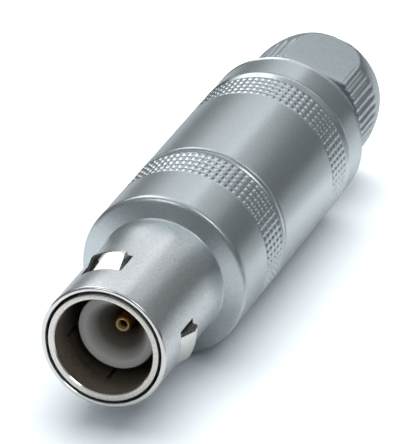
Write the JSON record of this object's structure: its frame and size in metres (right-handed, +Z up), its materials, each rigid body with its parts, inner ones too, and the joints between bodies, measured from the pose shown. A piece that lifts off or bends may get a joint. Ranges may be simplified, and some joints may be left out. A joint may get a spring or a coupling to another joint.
{
  "type": "single-pole circular plug",
  "caption": "Push-pull circular plug with a release shell, latch tabs, a recessed gold contact in a white insulator and a fluted collet nut at the cable end.",
  "frame": {"origin": "centre of the nose's front face, on the plug's axis", "axes": "+X along the plug's axis from the nose towards the cable end, +Z up as the plug lies on its side, -Y towards the side that shows the second latch tab"},
  "size_m": [0.0441, 0.012, 0.012],
  "materials": {
    "satin_chrome": "satin",
    "nickel": "satin",
    "brass_bush": "satin",
    "gold_contact": "polished",
    "spring_steel": "satin",
    "white_insulator": "matt"
  },
  "bodies": {
    "core": {"latch_sleeve": "nickel", "carrier_sleeve": "nickel", "front_insulator": "white_insulator", "rear_insulator": "white_insulator", "contact": "gold_contact", "clip_ring": "spring_steel", "half_shell_upper": "nickel", "half_shell_lower": "nickel", "shield_cone": "nickel"},
    "shell": {"outer_shell": "satin_chrome", "guide_bush": "brass_bush"},
    "clamp": {"collet": "brass_bush"},
    "nut": {"collet_nut": "satin_chrome"}
  },
  "joints": [
    {"name": "shell_release", "type": "slide", "parent": "core", "child": "shell", "axis": [1, 0, 0], "range_m": [0, 0.0008], "stiffness_N_per_m": 1200, "springref_m": -0.001, "deforming": ["latch_sleeve"]},
    {"name": "collet_advance", "type": "slide", "parent": "core", "child": "clamp", "axis": [1, 0, 0], "range_m": [0, 0.001]},
    {"name": "nut_turn", "type": "hinge", "parent": "clamp", "child": "nut", "pos_m": [0.04, 0, 0], "axis": [1, 0, 0], "range_deg": [0, 720]}
  ],
  "couplings": [
    {"joint": "nut_turn", "follows": "collet_advance", "rad_per_m": 12566}
  ]
}
